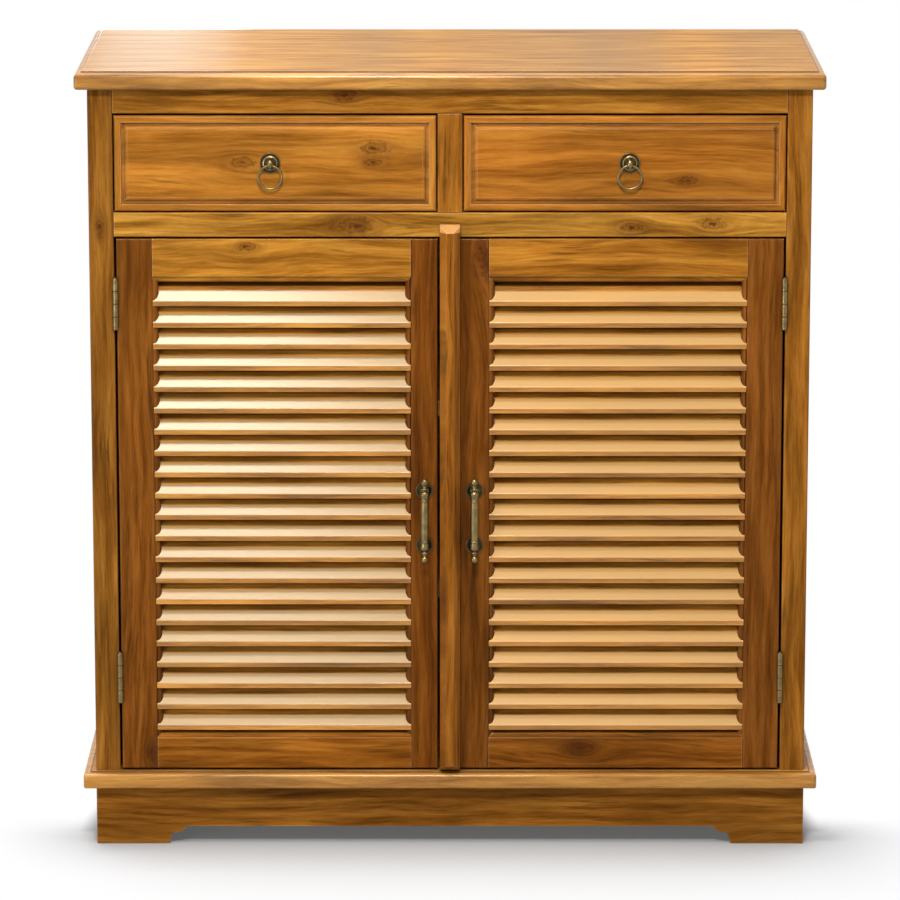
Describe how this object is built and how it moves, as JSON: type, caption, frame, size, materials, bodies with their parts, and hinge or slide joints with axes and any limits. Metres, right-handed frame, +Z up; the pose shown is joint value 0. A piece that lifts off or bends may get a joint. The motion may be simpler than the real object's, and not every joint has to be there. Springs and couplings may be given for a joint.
{
  "type": "louvred door cabinet",
  "caption": "Free-standing teak cabinet with two drawers over a pair of louvred doors, shelves inside, a moulded base board and a bracket-foot plinth",
  "frame": {"origin": "on the floor under the middle of the top board", "axes": "+X to the right of someone facing the doors, -Y out of the doors, +Z up"},
  "size_m": [0.9, 0.4106, 0.96],
  "materials": {
    "teak_top": "waxed teak, lighter than the frame",
    "teak_frame": "waxed teak",
    "teak_doors": "waxed teak",
    "teak_slats": "waxed teak",
    "teak_drawers": "waxed teak",
    "teak_inside": "sanded teak, unfinished",
    "plywood": "teak-faced plywood",
    "antique_brass": "aged brass, polished on the high spots",
    "steel": "zinc-plated steel",
    "catch_plastic": "moulded brown plastic case"
  },
  "bodies": {
    "carcass": {"front_post_right": "teak_frame", "front_post_left": "teak_frame", "rear_posts": "teak_frame", "side_rails": "teak_frame", "side_panel_right": "teak_frame", "side_panel_left": "teak_frame", "top_rail": "teak_frame", "middle_rail": "teak_frame", "drawer_divider": "teak_frame", "rear_rails": "teak_inside", "back_panel": "plywood", "top_board": "teak_top", "base_board": "teak_frame", "plinth_front": "teak_frame", "plinth_right": "teak_frame", "plinth_left": "teak_frame", "plinth_rear": "teak_inside", "corner_blocks": "teak_inside", "top_cleats": "teak_inside", "drawer_runners": "teak_inside", "shelf_lower": "teak_inside", "shelf_upper": "teak_inside", "shelf_cleats": "teak_inside", "hinge_frame_leaves": "antique_brass", "hinge_pins": "antique_brass", "magnet_catches": "catch_plastic"},
    "door_left": {"door_left_outer_stile": "teak_doors", "door_left_inner_stile": "teak_doors", "door_left_upper_rail": "teak_doors", "door_left_lower_rail": "teak_doors", "door_left_slats": "teak_slats", "door_left_hinge_leaves": "antique_brass", "door_left_handle": "antique_brass", "door_left_handle_roses": "antique_brass", "door_left_catch_plate": "steel"},
    "door_right": {"door_right_outer_stile": "teak_doors", "door_right_inner_stile": "teak_doors", "door_right_upper_rail": "teak_doors", "door_right_lower_rail": "teak_doors", "door_right_slats": "teak_slats", "door_right_hinge_leaves": "antique_brass", "door_right_handle": "antique_brass", "door_right_handle_roses": "antique_brass", "door_right_catch_plate": "steel", "cover_strip": "teak_doors"},
    "drawer_left": {"drawer_left_front": "teak_drawers", "drawer_left_edging": "teak_drawers", "drawer_left_sides": "teak_inside", "drawer_left_back": "teak_inside", "drawer_left_bottom": "plywood", "drawer_left_pull_plate": "antique_brass"},
    "drawer_right": {"drawer_right_front": "teak_drawers", "drawer_right_edging": "teak_drawers", "drawer_right_sides": "teak_inside", "drawer_right_back": "teak_inside", "drawer_right_bottom": "plywood", "drawer_right_pull_plate": "antique_brass"},
    "ring_left": {"ring_left": "antique_brass"},
    "ring_right": {"ring_right": "antique_brass"}
  },
  "joints": [
    {"name": "door_left_hinge", "type": "hinge", "parent": "carcass", "child": "door_left", "pos_m": [-0.4037, -0.1888, 0.4445], "axis": [0, 0, -1], "range_deg": [0, 175]},
    {"name": "door_right_hinge", "type": "hinge", "parent": "carcass", "child": "door_right", "pos_m": [0.4037, -0.1888, 0.4445], "axis": [0, 0, 1], "range_deg": [0, 175]},
    {"name": "drawer_left_slide", "type": "slide", "parent": "carcass", "child": "drawer_left", "axis": [0, -1, 0], "range_m": [0, 0.26]},
    {"name": "drawer_right_slide", "type": "slide", "parent": "carcass", "child": "drawer_right", "axis": [0, -1, 0], "range_m": [0, 0.26]},
    {"name": "ring_left_hinge", "type": "hinge", "parent": "drawer_left", "child": "ring_left", "pos_m": [-0.216, -0.1926, 0.846], "axis": [-1, 0, 0], "range_deg": [-10, 95]},
    {"name": "ring_right_hinge", "type": "hinge", "parent": "drawer_right", "child": "ring_right", "pos_m": [0.216, -0.1926, 0.846], "axis": [-1, 0, 0], "range_deg": [-10, 95]}
  ]
}
